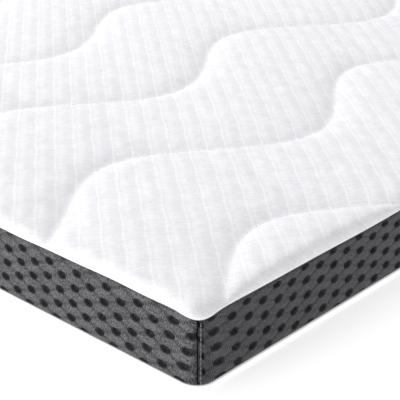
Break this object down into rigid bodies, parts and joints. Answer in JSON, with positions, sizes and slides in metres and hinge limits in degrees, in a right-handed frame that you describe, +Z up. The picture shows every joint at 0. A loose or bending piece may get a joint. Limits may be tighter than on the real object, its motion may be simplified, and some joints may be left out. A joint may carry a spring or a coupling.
{
  "type": "memory foam mattress",
  "caption": "Thin memory foam mattress with a wave-quilted white knit top, a dark spacer-mesh border and a zipped cover around layered foam.",
  "frame": {"origin": "centre of the underside, on the surface that the mattress lies on", "axes": "+X across the width, +Y along the length from the seen short side to the far one, +Z up"},
  "size_m": [0.9, 2, 0.06],
  "materials": {
    "knit_white": "matte double-jersey knit",
    "mesh_grey": "matte 3D spacer mesh",
    "wadding_white": "lofty fibre wadding",
    "scrim_white": "thin non-woven",
    "thread_white": "polyester sewing thread",
    "thread_grey": "polyester sewing thread",
    "zip_tape": "woven polyester tape",
    "zip_coil": "moulded nylon coil",
    "zip_metal": "tumbled zinc, satin",
    "label_white": "woven satin ribbon, blank",
    "liner_white": "fine jersey knit",
    "foam_memory": "open-cell memory foam",
    "foam_core": "open-cell support foam"
  },
  "bodies": {
    "mattress": {"base_fabric": "knit_white", "border_front": "mesh_grey", "border_right": "mesh_grey", "border_back": "mesh_grey", "border_left": "mesh_grey", "top_face": "knit_white", "top_wadding": "wadding_white", "top_backing": "scrim_white", "quilting_threads": "thread_white", "corner_seam_threads": "thread_grey", "top_seam_thread": "thread_grey", "bottom_seam_thread": "thread_grey", "zip_stitching": "thread_grey", "zip_tape_upper": "zip_tape", "zip_tape_lower": "zip_tape", "zip_coil_upper": "zip_coil", "zip_coil_lower": "zip_coil", "zip_top_stop": "zip_metal", "zip_bottom_stop": "zip_metal", "care_label": "label_white", "inner_liner": "liner_white", "memory_foam_layer": "foam_memory", "support_foam_core": "foam_core"},
    "zip_slider": {"zip_slider_body": "zip_metal"},
    "zip_pull": {"zip_pull_tab": "zip_metal"}
  },
  "joints": [
    {"name": "zip_slide", "type": "slide", "parent": "mattress", "child": "zip_slider", "axis": [0, 1, 0], "range_m": [0, 1.9]},
    {"name": "pull_swing", "type": "hinge", "parent": "zip_slider", "child": "zip_pull", "pos_m": [-0.449, -0.9627, 0.012], "axis": [0, 0, 1], "range_deg": [0, 180]}
  ]
}
